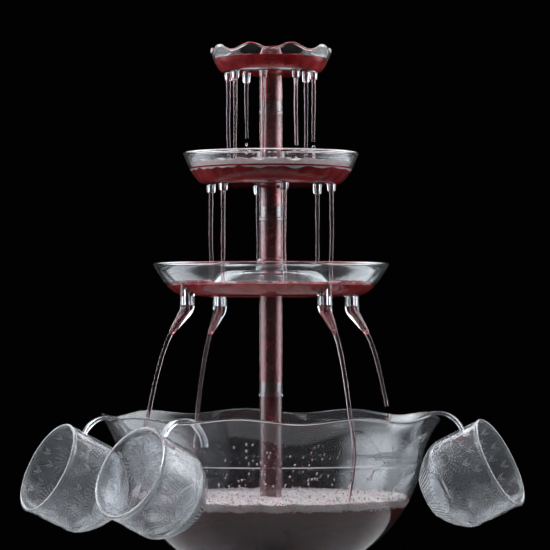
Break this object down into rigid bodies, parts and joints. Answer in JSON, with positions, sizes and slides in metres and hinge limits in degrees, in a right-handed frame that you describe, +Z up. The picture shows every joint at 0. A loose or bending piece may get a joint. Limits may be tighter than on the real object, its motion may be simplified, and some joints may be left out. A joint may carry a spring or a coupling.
{
  "type": "drinks fountain",
  "caption": "Clear table-top drinks fountain: waved punch bowl on a motor base, stacked tiers on a riser, turning spouts and punch cups hooked on the rim.",
  "frame": {"origin": "on the table, under the riser's axis", "axes": "+Z up along the riser, -Y towards the front"},
  "size_m": [0.4127, 0.3308, 0.4947],
  "materials": {
    "clear_plastic": "clear, glossy",
    "white_plastic": "moulded",
    "black_plastic": "moulded",
    "rubber": "matt",
    "steel": "bright",
    "motor_metal": "plated"
  },
  "bodies": {
    "base": {"base_housing": "white_plastic", "base_cover": "white_plastic", "cover_screws": "steel", "rubber_feet": "rubber", "bowl_gasket": "rubber", "switch_bezel": "black_plastic", "power_inlet": "black_plastic", "motor_can": "motor_metal", "motor_bracket": "steel", "bracket_screws": "steel"},
    "rotor": {"motor_shaft": "steel", "drive_hub": "white_plastic", "drive_magnets": "motor_metal"},
    "switch": {"switch_rocker": "black_plastic"},
    "bowl": {"bowl": "clear_plastic", "impeller_pin": "steel"},
    "impeller": {"impeller": "white_plastic", "impeller_magnets": "motor_metal"},
    "tower": {"pump_cover": "clear_plastic", "lower_tube": "clear_plastic"},
    "bottom_tier": {"bottom_tier": "clear_plastic", "middle_tube": "clear_plastic"},
    "middle_tier": {"middle_tier": "clear_plastic", "upper_tube": "clear_plastic"},
    "top_tier": {"top_tier": "clear_plastic"},
    "spout_rear_right": {"spout_rear_right": "clear_plastic"},
    "spout_rear_left": {"spout_rear_left": "clear_plastic"},
    "spout_front_left": {"spout_front_left": "clear_plastic"},
    "spout_front_right": {"spout_front_right": "clear_plastic"},
    "cup_right": {"cup_right": "clear_plastic"},
    "cup_left": {"cup_left": "clear_plastic"},
    "cup_front_left": {"cup_front_left": "clear_plastic"}
  },
  "joints": [
    {"name": "motor_spin", "type": "hinge", "parent": "base", "child": "rotor", "pos_m": [0, 0, 0.04], "axis": [0, 0, 1], "continuous": true},
    {"name": "switch_rock", "type": "hinge", "parent": "base", "child": "switch", "pos_m": [-0.014, 0.07028, 0.026], "axis": [1, 0, 0], "range_deg": [0, 20]},
    {"name": "bowl_lift", "type": "slide", "parent": "base", "child": "bowl", "axis": [0, 0, 1], "range_m": [0, 0.04]},
    {"name": "impeller_spin", "type": "hinge", "parent": "bowl", "child": "impeller", "pos_m": [0, 0, 0.06], "axis": [0, 0, 1], "continuous": true},
    {"name": "tower_lift", "type": "slide", "parent": "bowl", "child": "tower", "axis": [0, 0, 1], "range_m": [0, 0.06]},
    {"name": "bottom_tier_lift", "type": "slide", "parent": "tower", "child": "bottom_tier", "axis": [0, 0, 1], "range_m": [0, 0.03]},
    {"name": "middle_tier_lift", "type": "slide", "parent": "bottom_tier", "child": "middle_tier", "axis": [0, 0, 1], "range_m": [0, 0.03]},
    {"name": "top_tier_lift", "type": "slide", "parent": "middle_tier", "child": "top_tier", "axis": [0, 0, 1], "range_m": [0, 0.03]},
    {"name": "spout_rear_right_swivel", "type": "hinge", "parent": "bottom_tier", "child": "spout_rear_right", "pos_m": [0.06908, 0.04418, 0.2846], "axis": [0, 0, 1], "continuous": true},
    {"name": "spout_rear_left_swivel", "type": "hinge", "parent": "bottom_tier", "child": "spout_rear_left", "pos_m": [-0.04418, 0.06908, 0.2846], "axis": [0, 0, 1], "continuous": true},
    {"name": "spout_front_left_swivel", "type": "hinge", "parent": "bottom_tier", "child": "spout_front_left", "pos_m": [-0.06908, -0.04418, 0.2846], "axis": [0, 0, 1], "continuous": true},
    {"name": "spout_front_right_swivel", "type": "hinge", "parent": "bottom_tier", "child": "spout_front_right", "pos_m": [0.04418, -0.06908, 0.2846], "axis": [0, 0, 1], "continuous": true},
    {"name": "cup_right_lift", "type": "slide", "parent": "bowl", "child": "cup_right", "axis": [0.4541, -0.1698, 0.8746], "range_m": [0, 0.055]},
    {"name": "cup_left_lift", "type": "slide", "parent": "bowl", "child": "cup_left", "axis": [-0.43, -0.2239, 0.8746], "range_m": [0, 0.055]},
    {"name": "cup_front_left_lift", "type": "slide", "parent": "bowl", "child": "cup_front_left", "axis": [-0.3714, -0.3116, 0.8746], "range_m": [0, 0.055]}
  ],
  "couplings": [
    {"joint": "impeller_spin", "follows": "motor_spin", "ratio": 1}
  ]
}
